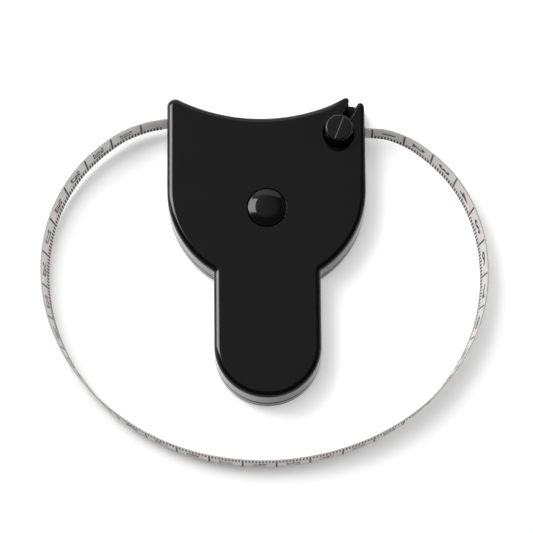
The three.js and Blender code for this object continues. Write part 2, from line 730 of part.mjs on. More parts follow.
// The tape inside the case, off the top of the roll and straight to the slit in the left wall.
function tapeLead() {
  const r = rollR + FIT + TAPE_THICK / 2;
  const lip = new THREE.Vector2(exitX + WALL, exitY);
  const away = Math.atan2(lip.y, lip.x) - Math.acos(r / lip.length());
  const start = new THREE.Vector2(r * Math.cos(away), r * Math.sin(away));
  const end = new THREE.Vector2(exitX, exitY);
  const points = [start, start.clone().lerp(lip, 0.5), lip, end];
  const along = runs(points);
  return band(points, along.map((run) => run - along.at(-1)));
}

// Lock peg: a pin with a slit right across it, wide below for the tape and narrow over it.
function lockPeg() {
  const topZ = caseTopZ + PEG_PROUD;
  const seatZ = FLOOR + FIT;
  const profile = [[0, seatZ], [PEG_R - PEG_TOP_R, seatZ], [PEG_R, seatZ + PEG_TOP_R]];
  for (let i = 0; i <= EDGE_STEPS; i += 1) {
    const a = ((i / EDGE_STEPS) * Math.PI) / 2;
    profile.push([PEG_R - PEG_TOP_R * (1 - Math.cos(a)), topZ - PEG_TOP_R * (1 - Math.sin(a))]);
  }
  profile.push([0, topZ]);
  const tapeSlit = TAPE_THICK + 2 * FIT;
  const across = 2 * PEG_R;
  const wide = box(-across, across, -tapeSlit / 2, tapeSlit / 2, seatZ + PEG_BASE, tapeTopZ + FIT);
  const narrow = box(-across, across, -PEG_SLIT / 2, PEG_SLIT / 2, tapeTopZ, topZ + 1);
  const cut = wide.add(narrow).rotate([0, 0, PEG_SLIT_ANGLE]);
  return atPeg(turned(profile, ROUND_STEPS).subtract(cut));
}

// Assembly, grouped by what moves together
const tapeMeasure = new THREE.Group();
const caseGroup = new THREE.Group();
const buttonGroup = new THREE.Group();
const drumGroup = new THREE.Group();
const pegGroup = new THREE.Group();
tapeMeasure.add(caseGroup, buttonGroup, drumGroup, pegGroup);

caseGroup.add(
  meshOf("front_shell", frontShell(), blackAbs),
  meshOf("rear_shell", rearShell(), blackAbs),
  meshOf("power_spring", powerSpring(), springSteel),
  meshOf("button_spring", returnSpring(), springSteel),
  meshOf("tape_lead", tapeLead(), whiteTape),
  meshOf("tape_loop", tapeLoop(), whiteTape),
);
for (const [name, [x, y]] of Object.entries(screwPlaces)) {
  const screw = meshOf(name, caseScrew(), zincSteel);
  screw.position.set(x, y, 0);
  caseGroup.add(screw);
}
buttonGroup.add(
  meshOf("push_button", pushButton(), blackAbs),
  meshOf("brake_ring", brakeRing(), brakeRubber),
);
drumGroup.add(
  meshOf("tape_drum", tapeDrum(), whiteAcetal),
  meshOf("drum_cover", drumCover(), whiteAcetal),
  meshOf("tape_roll", tapeRoll(), whiteTape),
);
pegGroup.add(
  meshOf("lock_peg", lockPeg(), blackPeg),
  meshOf("tape_end", tapeEnd(), whiteTape),
);

export default tapeMeasure;
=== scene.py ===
import math
import bpy
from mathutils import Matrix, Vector


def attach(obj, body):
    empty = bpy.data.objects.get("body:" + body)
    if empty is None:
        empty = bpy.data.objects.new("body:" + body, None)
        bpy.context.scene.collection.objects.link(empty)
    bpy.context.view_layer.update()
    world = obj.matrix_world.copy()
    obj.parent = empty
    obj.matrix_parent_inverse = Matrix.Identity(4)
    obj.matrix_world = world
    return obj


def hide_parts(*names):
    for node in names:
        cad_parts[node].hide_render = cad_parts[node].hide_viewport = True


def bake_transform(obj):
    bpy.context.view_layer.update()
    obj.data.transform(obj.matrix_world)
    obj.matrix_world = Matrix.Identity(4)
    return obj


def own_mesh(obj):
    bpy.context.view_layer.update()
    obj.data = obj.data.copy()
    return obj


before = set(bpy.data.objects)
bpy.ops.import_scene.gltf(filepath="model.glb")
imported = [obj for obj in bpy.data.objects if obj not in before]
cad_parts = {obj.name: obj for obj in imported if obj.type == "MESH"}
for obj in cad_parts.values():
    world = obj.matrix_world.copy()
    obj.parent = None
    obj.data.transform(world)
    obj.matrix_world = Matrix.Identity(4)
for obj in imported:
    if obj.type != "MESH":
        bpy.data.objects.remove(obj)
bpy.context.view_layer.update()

# View of the photograph
# The camera stands a metre and a half off, high over the handle's end, and looks steeply down
# through a long lens.
MM = 0.001
view_height = 12.6
view_elevation = math.radians(74.5)
view_turn = math.radians(-0.5)
view_middle = -0.06
view_distance = 1500
view_pitch = math.radians(75.17)
view_lens = 340.4
bpy.ops.object.select_all(action="DESELECT")
bpy.ops.object.camera_add()
camera = bpy.context.object
camera.name = "photo_camera"
camera.location = (
    (view_middle + view_distance * math.sin(view_turn) * math.cos(view_elevation)) * MM,
    -view_distance * math.cos(view_turn) * math.cos(view_elevation) * MM,
    (view_height + view_distance * math.sin(view_elevation)) * MM,
)
camera.rotation_euler = (math.pi / 2 - view_pitch, 0, view_turn)
camera.data.sensor_width = 36
camera.data.lens = view_lens
bpy.context.scene.camera = camera

# Rear shell
# The back half of the case, injection moulded in black ABS. Its rim carries a lip that the front
# shell laps over, and it holds the arbor, the screw bosses and two ribs in the handle.
fit = 0.3
round_r = 29.655
round_y = 5.8
cradle_r = 54.5
cradle_x = -1.15
cradle_low = 28.055
cradle_y = cradle_low + cradle_r
corner_r = 2.4
hook_corner_r = 4
handle_half = 15.9
handle_end_y = -41.95
neck_r = 1
wall_taper = math.radians(0.3)
wall = 1.8
floor_top = 1.5
rear_rim = 3.9
seam_edge_r = 0.25
rear_edge_r = 0.7
lap_skirt = 0.75
lip_top = 5.15
peg_x = 21.655
peg_y = 22.855
peg_hole_r = 4.6
bay_wall = 1.2
slot_width = 2.5
slot_shift = 0.4
slot_angle = math.radians(62.5)
hook_tip_r = 1.1
prong_tip_r = 1.05
window_angle = math.radians(30)
window_low = 2.5
exit_x = -29.54
exit_y = 27.955
exit_slit = 2
roof_low = 11.1
case_top = 12.6
over_case = 14
under_case = -1
far_out = 90
screw_places = {
    "case_screw_left": (-23.055, 18.455),
    "case_screw_right": (12.755, 23.755),
    "case_screw_handle": (0, -44.75),
}
screw_hole_r = 1.4
screw_sink_r = 2.4
screw_sink = 2
boss_r = 2.8
boss_top = 5.5
arbor_r = 4.8
arbor_bore_r = 3.4
arbor_top = 6.4
key_half = 0.6
key_low = 4.9
button_travel = 1.5
strip_thick = 0.2
strip_low = 2.9
rib_thick = 1.2
rib_top = 3.5
well_outer_r = 23.905
tip_steps = 12
neck_steps = 8
handle_steps = 24
round_steps = 36
cradle_steps = 48
bay_steps = 72
fine_sides = 96
crisp_angle = math.radians(35)
flow_mark = 14
facing_up = 0.9
peg_axis = Vector((peg_x, peg_y))
slot_way = Vector((math.cos(slot_angle), math.sin(slot_angle)))
slot_left = Vector((-slot_way.y, slot_way.x))
wall_way = Vector((-math.sin(wall_taper), math.cos(wall_taper)))


def start_point(x, y, z):
    """A new piece in edit mode that holds one selected point, placed in millimetres."""
    bpy.ops.object.select_all(action="DESELECT")
    bpy.ops.mesh.primitive_plane_add(size=MM)
    piece = bpy.context.object
    bpy.ops.object.mode_set(mode="EDIT")
    bpy.context.tool_settings.mesh_select_mode = (True, False, False)
    bpy.ops.mesh.merge(type="CENTER")
    bpy.ops.transform.translate(value=(x * MM, y * MM, z * MM))
    return piece


def draw_line(x, y, z=0):
    """Draws on from the selected point by a step."""
    bpy.ops.mesh.extrude_region_move(TRANSFORM_OT_translate={"value": (x * MM, y * MM, z * MM)})


def draw_arc(x, y, z, angle, steps):
    """Draws on from the selected point round a centre, anticlockwise for a positive angle."""
    centre = (x * MM, y * MM, z * MM)
    bpy.ops.mesh.spin(steps=steps, angle=-angle, center=centre, axis=(0, 0, 1))


def close_and_raise(height):
    """Closes a drawn outline and raises it to a solid."""
    bpy.ops.mesh.select_all(action="SELECT")
    bpy.ops.mesh.remove_doubles(threshold=MM * MM)
    bpy.ops.mesh.edge_face_add()
    bpy.ops.mesh.extrude_region_move(TRANSFORM_OT_translate={"value": (0, 0, height * MM)})
    bpy.ops.mesh.select_all(action="SELECT")
    bpy.ops.mesh.normals_make_consistent(inside=False)
    bpy.ops.object.mode_set(mode="OBJECT")


def corner_centre(inset, r, edge_x):
    """Centre of the corner between the right wall and a concave edge, and the wall's length up to it."""
    start = Vector((wall_way.y, -wall_way.x)) * (round_r - inset - r) + Vector((0, round_y))
    to_edge = start - Vector((edge_x, cradle_y))
    half = to_edge.dot(wall_way)
    run = -half - math.sqrt(half**2 - to_edge.length_squared + (cradle_r + inset + r) ** 2)
    return start + wall_way * run, run


def tip_centre(side, r, centre, distance):
    """Centre of a rounded tip on the slot's left (1) or right (-1), at a distance from another centre."""
    start = peg_axis + slot_left * (slot_shift + side * (slot_width / 2 + r))
    to_centre = centre - start
    reach = to_centre.dot(slot_way)
    return start + slot_way * (reach - side * math.sqrt(reach**2 - to_centre.length_squared + distance**2))


def angle_of(way):
    """A direction's angle from +X."""
    return math.atan2(way.y, way.x)


cradle = Vector((cradle_x, cradle_y))
hook_corner = corner_centre(0, hook_corner_r, cradle_x)[0]
hook_tip = tip_centre(-1, hook_tip_r, hook_corner, hook_corner_r - hook_tip_r)
prong_tip = tip_centre(1, prong_tip_r, cradle, cradle_r + prong_tip_r)


def draw_bay(low):
    """Draws on from the right wall: round the hook, down the slot, round the bay and back out."""
    hook_end = angle_of(hook_tip - hook_corner)
    draw_arc(*hook_corner, low, hook_end - wall_taper, tip_steps)
    draw_arc(*hook_tip, low, slot_angle + math.pi / 2 - hook_end, tip_steps)
    ends = []
    for aside in (slot_shift - slot_width / 2, slot_shift + slot_width / 2):
        ends.append(peg_axis + slot_left * aside + slot_way * math.sqrt(peg_hole_r**2 - aside**2))
    draw_line(*(ends[0] - hook_tip - slot_left * hook_tip_r))
    mouth = angle_of(ends[1] - peg_axis) - angle_of(ends[0] - peg_axis)
    draw_arc(*peg_axis, low, mouth - 2 * math.pi, bay_steps)
    draw_line(*(prong_tip - slot_left * prong_tip_r - ends[1]))
    draw_arc(*prong_tip, low, angle_of(cradle - prong_tip) - slot_angle + math.pi / 2, tip_steps)


def case_block(inset, low, high, with_bay=False):
    """A solid with the case's outline moved in by an inset, drawn anticlockwise from the handle's end."""
    neck_x = handle_half + neck_r
    neck_y = round_y - math.sqrt((round_r + neck_r) ** 2 - neck_x**2)
    neck_turn = math.atan2(round_y - neck_y, -neck_x) - math.pi
    right_r = max(hook_corner_r - inset, fit)
    left_r = max(corner_r - inset, fit)
    right, right_run = corner_centre(inset, right_r, cradle_x)
    left, left_run = corner_centre(inset, left_r, -cradle_x)
    right_end = angle_of(cradle - right)
    left_end = angle_of(Vector((-cradle_x, cradle_y)) - left)
    piece = start_point(0, handle_end_y - handle_half + inset, low)
    draw_arc(0, handle_end_y, low, math.pi / 2, handle_steps)
    draw_line(0, neck_y - handle_end_y)
    draw_arc(neck_x, neck_y, low, neck_turn, neck_steps)
    draw_arc(0, round_y, low, wall_taper - neck_turn, round_steps)
    draw_line(*(wall_way * right_run))
    if with_bay:
        draw_bay(low)
        right_end = angle_of(cradle - prong_tip)
    else:
        draw_arc(*right, low, right_end - wall_taper, tip_steps)
    draw_arc(*cradle, low, math.pi - left_end - right_end, cradle_steps)
    draw_arc(-left.x, left.y, low, left_end - wall_taper, tip_steps)
    draw_line(wall_way.x * left_run, -wall_way.y * left_run)
    draw_arc(0, round_y, low, wall_taper - neck_turn, round_steps)
    draw_arc(-neck_x, neck_y, low, neck_turn, neck_steps)
    draw_line(0, handle_end_y - neck_y)
    draw_arc(0, handle_end_y, low, math.pi / 2, handle_steps)
    close_and_raise(high - low)
    return piece


def round_edge(piece, z, steps, radius_at):
    """Rounds the edges of a piece that lie at one height, each to the radius at its middle."""
    points = [p.co / MM for p in piece.data.vertices]
    radii = []
    for edge in piece.data.edges:
        a, b = (points[i] for i in edge.vertices)
        level = abs(a.z - z) < MM and abs(b.z - z) < MM
        radii.append(radius_at(((a + b) / 2).xy) if level else 0)
    weights = piece.data.attributes.new("bevel_weight_edge", "FLOAT", "EDGE")
    for i, radius in enumerate(radii):
        weights.data[i].value = radius / max(radii)
    bpy.context.view_layer.objects.active = piece
    change = piece.modifiers.new("rounded_edge", "BEVEL")
    change.limit_method = "WEIGHT"
    change.width = max(radii) * MM
    change.segments = steps
    change.use_clamp_overlap = False
    bpy.ops.object.modifier_apply(modifier=change.name)
    piece.data.attributes.remove(piece.data.attributes["bevel_weight_edge"])


def rod(x, y, r, low, high, sides=64):
    """A round rod that stands on end, in millimetres."""
    bpy.ops.object.select_all(action="DESELECT")
    place = (x * MM, y * MM, (low + high) / 2 * MM)
    depth = (high - low) * MM
    bpy.ops.mesh.primitive_cylinder_add(vertices=sides, radius=r * MM, depth=depth, location=place)
    bpy.ops.object.transform_apply()
    return bpy.context.object


def slab(x0, x1, y0, y1, low, high):
    """A square block between its lowest and highest corners, in millimetres."""
    bpy.ops.object.select_all(action="DESELECT")
    place = ((x0 + x1) / 2 * MM, (y0 + y1) / 2 * MM, (low + high) / 2 * MM)
    size = ((x1 - x0) * MM, (y1 - y0) * MM, (high - low) * MM)
    bpy.ops.mesh.primitive_cube_add(size=1, location=place, scale=size)
    bpy.ops.object.transform_apply()
    return bpy.context.object


def join_or_cut(piece, other, operation):
    """Adds another solid to a piece, cuts it out, or keeps what both share. The other is used up."""
    bpy.context.view_layer.objects.active = piece
    change = piece.modifiers.new(operation.lower(), "BOOLEAN")
    change.operation = operation
    change.solver = "EXACT"
    change.object = other
    bpy.ops.object.modifier_apply(modifier=change.name)
    bpy.data.objects.remove(other)


def bay_block(room):
    """The solid corner round the peg's bay, grown by some room."""
    r = peg_hole_r + bay_wall + room
    block = rod(peg_x, peg_y, r, under_case, over_case, fine_sides)
    join_or_cut(block, peg_slot(slot_width + 2 * (bay_wall + room), under_case), "UNION")
    join_or_cut(block, slab(peg_x, far_out, peg_y - r, far_out, under_case, over_case), "UNION")
    return block


def peg_slot(width, low):
    """The slot that opens the peg's bay to the concave edge."""
    start = peg_axis + slot_left * (slot_shift + width / 2)
    piece = start_point(*start, low)
    draw_line(*(slot_left * -width))
    draw_line(*(slot_way * far_out))
    draw_line(*(slot_left * width))
    draw_line(*(slot_way * -far_out))
    close_and_raise(over_case - low)
    return piece


def prong_trim(low):
    """What is cut off beyond the rounded tip on the slot's left side."""
    past = 2 * slot_width
    out = (cradle - prong_tip).normalized()
    start = prong_tip - slot_left * prong_tip_r
    piece = start_point(*start, low)
    draw_arc(*prong_tip, low, angle_of(out) - slot_angle + math.pi / 2, tip_steps)
    draw_line(*(out * (past - prong_tip_r)))
    in_slot = start - slot_left * slot_width / 2
    draw_line(*(in_slot + slot_way * past - prong_tip - out * past))
    draw_line(*(slot_way * -past))
    close_and_raise(over_case - low)
    return piece


def swing_room(to_angle, low, high):
    """The wedge under the hook in which the tape swings between the slot and the right wall."""
    piece = start_point(peg_x, peg_y, low)
    draw_line(far_out, 0)
    draw_line(far_out * (math.cos(to_angle) - 1), far_out * math.sin(to_angle))
    draw_line(-far_out * math.cos(to_angle), -far_out * math.sin(to_angle))
    close_and_raise(high - low)
    return piece


def tape_slit():
    """The slit in the left wall that lets the tape out."""
    low = exit_y - exit_slit / 2
    return slab(-far_out, exit_x + 2 * wall, low, low + exit_slit, window_low, roof_low)


def pick(piece):
    """Selects one piece alone."""
    bpy.ops.object.select_all(action="DESELECT")
    piece.select_set(True)
    bpy.context.view_layer.objects.active = piece


def finish_faces(piece):
    """Smooth faces with crisp edges, and flat faces kept flat beside rounded edges."""
    pick(piece)
    bpy.ops.object.shade_smooth_by_angle(angle=crisp_angle)
    flat = piece.modifiers.new("flat_faces", "WEIGHTED_NORMAL")
    flat.weight = 100
    flat.keep_sharp = True
    bpy.ops.object.modifier_apply(modifier=flat.name)


rear_shell = case_block(0, 0, rear_rim)
rear_shell.name = "rear_shell_moulding"
round_edge(rear_shell, 0, 6, lambda place: rear_edge_r)
round_edge(rear_shell, rear_rim, 3, lambda place: seam_edge_r)
lip = case_block(lap_skirt + fit, floor_top / 2, lip_top)
join_or_cut(lip, bay_block(fit), "DIFFERENCE")
join_or_cut(rear_shell, lip, "UNION")
hollow = case_block(wall, floor_top, over_case)
join_or_cut(hollow, bay_block(0), "DIFFERENCE")
join_or_cut(rear_shell, hollow, "DIFFERENCE")
arbor = rod(0, 0, arbor_r, floor_top / 2, arbor_top)
join_or_cut(arbor, rod(0, 0, arbor_bore_r, floor_top, over_case), "DIFFERENCE")
key_room = key_half + fit
key_stop = key_low - button_travel - fit
key_slots = slab(-2 * arbor_r, 2 * arbor_r, -key_room, key_room, key_stop, over_case)
join_or_cut(arbor, key_slots, "DIFFERENCE")
strip_room = strip_thick / 2 + fit
strip_slot = slab(-strip_room, strip_room, 0, 2 * arbor_r, strip_low - fit, over_case)
join_or_cut(arbor, strip_slot, "DIFFERENCE")
join_or_cut(rear_shell, arbor, "UNION")
for share in (1 / 3, 2 / 3):
    rib_y = -well_outer_r + (handle_end_y + well_outer_r) * share
    rib_half = handle_half - wall + fit
    rib = slab(-rib_half, rib_half, rib_y, rib_y + rib_thick, floor_top / 2, rib_top)
    join_or_cut(rear_shell, rib, "UNION")
for x, y in screw_places.values():
    join_or_cut(rear_shell, rod(x, y, boss_r, floor_top / 2, boss_top), "UNION")
    join_or_cut(rear_shell, rod(x, y, screw_sink_r, under_case, screw_sink), "DIFFERENCE")
    join_or_cut(rear_shell, rod(x, y, screw_hole_r, under_case, over_case), "DIFFERENCE")
bay_hole = rod(peg_x, peg_y, peg_hole_r, floor_top, over_case, fine_sides)
join_or_cut(rear_shell, bay_hole, "DIFFERENCE")
join_or_cut(rear_shell, peg_slot(slot_width, floor_top), "DIFFERENCE")
join_or_cut(rear_shell, prong_trim(floor_top), "DIFFERENCE")
inner_swing = swing_room(slot_angle, window_low, over_case)
join_or_cut(inner_swing, case_block(wall, window_low - fit, over_case + fit), "INTERSECT")
join_or_cut(rear_shell, inner_swing, "DIFFERENCE")
join_or_cut(rear_shell, swing_room(window_angle, window_low, over_case), "DIFFERENCE")
join_or_cut(rear_shell, tape_slit(), "DIFFERENCE")
finish_faces(rear_shell)


def linear(code):
    """A colour's sRGB hex code as linear light."""
    shares = [int(code[i : i + 2], 16) / 255 for i in (1, 3, 5)]
    return [c / 12.92 if c <= 0.04045 else ((c + 0.055) / 1.055) ** 2.4 for c in shares] + [1]


def node(material, kind, links=None, **settings):
    """Adds a node with its settings; links give a socket a value or another node's output."""
    made = material.node_tree.nodes.new("ShaderNode" + kind)
    for name, value in settings.items():
        setattr(made, name, value)
    for socket, value in (links or {}).items():
        if isinstance(value, bpy.types.NodeSocket):
            material.node_tree.links.new(value, made.inputs[socket])
        else:
            made.inputs[socket].default_value = value
    return made


def new_material(name):
    """A material without nodes yet."""
    material = bpy.data.materials.new(name)
    material.use_nodes = True
    material.node_tree.nodes.clear()
    return material


def surface(material, links):
    """Finishes a material with one surface shader."""
    shader = node(material, "BsdfPrincipled", links)
    node(material, "OutputMaterial", {"Surface": shader.outputs["BSDF"]})


def mottle(material, size, detail, light, dark):
    """A colour that drifts between two tints in patches of a size in millimetres, and the drift itself."""
    place = node(material, "TexCoord").outputs["Object"]
    patches = node(material, "TexNoise", {"Vector": place, "Scale": 1 / (size * MM), "Detail": detail})
    drift = patches.outputs["Fac"]
    tints = {0: drift, 6: linear(light), 7: linear(dark)}
    return node(material, "Mix", tints, data_type="RGBA").outputs[2], drift


def moulded_plastic(name, light, dark, gloss, grain, relief, sheen=0.5):
    """Moulded plastic: flow marks change its gloss a little, and a fine grain breaks reflections."""
    material = new_material(name)
    colour, flow = mottle(material, flow_mark, 3.0, light, dark)
    span = {"From Min": 0.3, "From Max": 0.7, "To Min": gloss[0], "To Max": gloss[1]}
    rough = node(material, "MapRange", {"Value": flow, **span})
    place = node(material, "TexCoord").outputs["Object"]
    pores = node(material, "TexNoise", {"Vector": place, "Scale": 1 / (grain * MM), "Detail": 2.0})
    raised = {"Height": pores.outputs["Fac"], "Strength": 0.6, "Distance": relief * MM}
    bump = node(material, "Bump", raised)
    links = {
        "Base Color": colour,
        "Roughness": rough.outputs["Result"],
        "Normal": bump.outputs["Normal"],
        "IOR": 1.5,
        "Specular IOR Level": sheen,
    }
    surface(material, links)
    return material


def dress(piece, material):
    """Gives a piece or a carried-over solid one material."""
    piece.data.materials.clear()
    piece.data.materials.append(material)


# Glossy black ABS straight from a polished mould: near black, with a soft sheen.
black_abs = moulded_plastic("moulded_black_abs", "#0c0c0d", "#08080a", (0.08, 0.11), 0.7, 0.0004, 0.37)
dress(rear_shell, black_abs)

# The inside of the mould is left matt, and its colour is a little darker than the case's: painted shade, so
# that the floor under the bay and its slot stays dark.
matt_shaded_abs = moulded_plastic("matt_black_abs_painted_shade", "#09090a", "#060607", (0.6, 0.75), 0.5, 0.003, 0.2)
rear_shell.data.materials.append(matt_shaded_abs)
for face in rear_shell.data.polygons:
    if face.normal.z > facing_up and face.center.z < 2 * floor_top * MM:
        face.material_index = 1
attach(rear_shell, "case")
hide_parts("rear_shell")

# Power spring and return spring
# A flat spiral strip of blued spring steel winds the tape in, and a small coil of the same steel
# pushes the button up. Both sit round the arbor; the strip's outer end is hooked into the drum.
strip_top = 6.1
strip_turns = 7
strip_inner_r = 5.4
strip_outer_r = 13.8
strip_tab = 1
hook_clear = 0.15
coil_r = 2.7
coil_wire_r = 0.25
coil_turns = 5
coil_low = 1.8
coil_top = 7.9
strip_steps = 36
coil_steps = 24
wire_sides = 10


def new_piece(name, points, faces):
    """A piece made of points in metres and faces."""
    mesh = bpy.data.meshes.new(name)
    mesh.from_pydata(points, [], faces)
    piece = bpy.data.objects.new(name, mesh)
    bpy.context.scene.collection.objects.link(piece)
    return piece


def ring_solid(name, rings):
    """A closed solid through rings of points in metres, which run anticlockwise seen from the last ring."""
    count = len(rings[0])
    faces = []
    for base in range(0, (len(rings) - 1) * count, count):
        for k in range(count):
            after = (k + 1) % count
            faces.append((base + k, base + after, base + count + after, base + count + k))
    last = (len(rings) - 1) * count
    faces.append(tuple(reversed(range(count))))
    faces.append(tuple(last + k for k in range(count)))
    return new_piece(name, [spot for ring in rings for spot in ring], faces)


def swept(name, line, section):
    """A bar along points in millimetres, its section as outward and upward offsets, anticlockwise."""
    rings = []
    for i, place in enumerate(line):
        along = (line[min(i + 1, len(line) - 1)] - line[max(i - 1, 0)]).xy.normalized()
        ring = []
        for aside, up in reversed(section):
            spot = place + Vector((along.y * aside, -along.x * aside, up))
            ring.append(tuple(spot * MM))
        rings.append(ring)
    return ring_solid(name, rings)


# Blued spring steel: grey-blue, drawn bright, with a faint change of tint from the heat.
spring_steel = new_material("blued_spring_steel")
heat_colour, heat = mottle(spring_steel, 3, 2.0, "#8a8f96", "#6d757f")
drawn = node(spring_steel, "MapRange", {"Value": heat, "To Min": 0.24, "To Max": 0.38})
spring_links = {"Base Color": heat_colour, "Roughness": drawn.outputs["Result"], "Metallic": 1.0}
surface(spring_steel, spring_links)

strip_line = [Vector((0, strip_inner_r - strip_tab, strip_low))]
for i in range(strip_turns * strip_steps + 1):
    a = math.pi / 2 + i / strip_steps * 2 * math.pi
    r = strip_inner_r + (strip_outer_r - strip_inner_r) * i / (strip_turns * strip_steps)
    strip_line.append(Vector((r * math.cos(a), r * math.sin(a), strip_low)))
strip_half = strip_thick / 2
strip_tall = strip_top - strip_low
strip_section = [(-strip_half, 0), (strip_half, 0), (strip_half, strip_tall), (-strip_half, strip_tall)]
power_spring = swept("power_spring_strip", strip_line, strip_section)
hook_line = [Vector((0, strip_outer_r + reach, strip_low)) for reach in (hook_clear, strip_tab)]
spring_hook = swept("power_spring_hook", hook_line, strip_section)
coil_long = coil_top - coil_low
coil_line = []
for i in range(coil_turns * coil_steps + 1):
    a = i / coil_steps * 2 * math.pi
    z = coil_low + coil_wire_r + (coil_long - 2 * coil_wire_r) * i / (coil_turns * coil_steps)
    coil_line.append(Vector((coil_r * math.cos(a), coil_r * math.sin(a), z)))
wire_section = []
for k in range(wire_sides):
    a = k / wire_sides * 2 * math.pi
    wire_section.append((coil_wire_r * math.cos(a), coil_wire_r * math.sin(a)))
return_spring = swept("button_return_spring", coil_line, wire_section)
for piece, body in ((power_spring, "case"), (spring_hook, "drum"), (return_spring, "case")):
    finish_faces(piece)
    dress(piece, spring_steel)
    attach(piece, body)
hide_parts("power_spring")
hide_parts("button_spring")
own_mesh(return_spring)

# Tape drum and its cover
# Hub, flange and the cover ring over the hub, moulded in white acetal so that they run dry on the
# arbor. Acetal is milky and waxy.
white_acetal = moulded_plastic("moulded_white_acetal", "#e8e5dc", "#dedbd0", (0.34, 0.46), 0.9, 0.0015)
for name in ("tape_drum", "drum_cover"):
    dress(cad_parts[name], white_acetal)

# Tape
# One long band of glass-fibre cloth with a white vinyl coating, 8 mm wide. It is wound on the hub,
# led out through the left wall, lies on edge round the handle, and ends in the lock peg's slit.
tape_width = 8
tape_thick = 0.4
tape_low = 2.8
table_gap = 0.2
lean_side = 1.95
lean_wall = 0.4
twist_run = 4
settle_from = 5
settle_to = 60
cut_edge = 0.1
entry_x = 29.557
entry_y = 24.655
entry_lead = 2.5
loop_route = [
    (-36.2, 26.7), (-44.2, 23.3), (-55.6, 13.6), (-63.2, 0.7), (-66.3, -14.2), (-64.9, -29.6),
    (-59.4, -43.8), (-50.4, -56), (-38.6, -65.6), (-25, -72.2), (-10.2, -75.6), (5, -75.9),
    (19.9, -73.2), (34, -67.5), (46.4, -58.8), (56.2, -47.2), (62.6, -33.5), (64.8, -18.1), (62.5, -3),
]
end_route = [(55.6, 10.2), (44.5, 20.3), (36.6, 23.8)]
peg_r = 4
peg_slit_angle = math.radians(68.5)
route_steps = 40
lead_steps = 20
turn_steps = 16
roll_steps = 90
ring_gap = 1
tape_crisp_angle = math.radians(30)
facing_edge = 0.6


def smooth_line(points, steps):
    """A smooth line through plan points that may lie at uneven distances."""
    line = [Vector(p) for p in points]
    line = [line[0] * 2 - line[1]] + line + [line[-1] * 2 - line[-2]]
    made = [line[1]]
    for a, b, c, d in zip(line, line[1:], line[2:], line[3:]):
        before, here, after = (math.sqrt((q - p).length) for p, q in ((a, b), (b, c), (c, d)))
        leave = ((b - a) / before - (c - a) / (before + here) + (c - b) / here) * here
        reach = ((c - b) / here - (d - b) / (here + after) + (d - c) / after) * here
        for i in range(1, steps + 1):
            t = i / steps
            along = (c - b) * (3 * t * t - 2 * t**3) + leave * (t - 2 * t * t + t**3)
            made.append(b + along + reach * (t**3 - t * t))
    return made


def runs_of(line):
    """How far each point of a line lies from its start."""
    runs = [0]
    for p, q in zip(line, line[1:]):
        runs.append(runs[-1] + (q - p).length)
    return runs


def even_line(line, spacing):
    """The same line with points at an even spacing."""
    runs = runs_of(line)
    count = max(2, round(runs[-1] / spacing))
    made = []
    k = 0
    for i in range(count + 1):
        goal = runs[-1] * i / count
        while k < len(line) - 2 and runs[k + 1] < goal:
            k += 1
        made.append(line[k].lerp(line[k + 1], (goal - runs[k]) / (runs[k + 1] - runs[k])))
    return made


def ease(value, low, high):
    """A smooth step from 0 to 1."""
    share = min(max((value - low) / (high - low), 0), 1)
    return share * share * (3 - 2 * share)


def tape_rings(line, from_wall):
    """For each point of a plan line: place, outward direction, lean, lower and upper edge."""
    rings = []
    for i, place in enumerate(line):
        along = (line[min(i + 1, len(line) - 1)] - line[max(i - 1, 0)]).normalized()
        out = Vector((along.y, -along.x))
        free = ease(from_wall[i], settle_from, settle_to)
        lean = ease(from_wall[i], -twist_run, 0) * (lean_wall * (1 - free) + lean_side * out.x**2)
        low = tape_low + (table_gap - tape_low) * free
        rings.append((place, out, lean, low, low + math.sqrt(tape_width**2 - lean**2)))
    return rings


def on_tape(ring, depth, height):
    """A point in metres: depth outwards from the tape's middle, height up from its lower edge."""
    place, out, lean, low, high = ring
    share = height / tape_width
    spot = place + out * (depth + lean * (share - 0.5))
    return (spot.x * MM, spot.y * MM, (low + (high - low) * share) * MM)


def tape_band(name, rings):
    """The band itself: flat faces, slightly broken edges, and a map in metres along and across."""
    half = tape_thick / 2
    section = [
        (-half, cut_edge), (0, 0), (half, cut_edge), (half, tape_width - cut_edge),
        (0, tape_width), (-half, tape_width - cut_edge),
    ]
    count = len(section)
    piece = ring_solid(name, [[on_tape(ring, *spot) for spot in reversed(section)] for ring in rings])
    mesh = piece.data
    runs = runs_of([ring[0] for ring in rings])
    along = mesh.uv_layers.new(name="along")
    for loop in mesh.loops:
        spot = section[-1 - loop.vertex_index % count]
        along.data[loop.index].uv = (runs[loop.vertex_index // count] * MM, spot[1] * MM)
    dress(piece, coated_tape)
    mesh.materials.append(tape_edge)
    for face in mesh.polygons:
        if abs(face.normal.z) > facing_edge:
            face.material_index = 1
    pick(piece)
    bpy.ops.object.shade_smooth_by_angle(angle=tape_crisp_angle)
    return piece


# Vinyl-coated glass cloth: satin, a warm white, with the threads faintly showing. The threads are
# half a millimetre apart, drawn a little deeper than they are so that they show. The wave texture
# repeats every 0.314 of its map.
thread = 0.5
wave_unit = 0.314
coated_tape = new_material("vinyl_coated_glass_cloth")
tape_map = node(coated_tape, "UVMap", uv_map="along").outputs["UV"]
weave = []
for direction in ("X", "Y"):
    wave_links = {"Vector": tape_map, "Scale": wave_unit / (thread * MM), "Distortion": 0.4, "Detail": 1.0}
    weave.append(node(coated_tape, "TexWave", wave_links, bands_direction=direction))
crossing = {0: weave[0].outputs["Fac"], 1: weave[1].outputs["Fac"]}
threads = node(coated_tape, "Math", crossing, operation="MULTIPLY")
tape_colour = mottle(coated_tape, 9, 3.0, "#dfdad9", "#d5d1d0")[0]
sunk = {0: threads.outputs[0], 6: linear("#d0cbcb"), 7: tape_colour}
thread_colour = node(coated_tape, "Mix", sunk, data_type="RGBA")
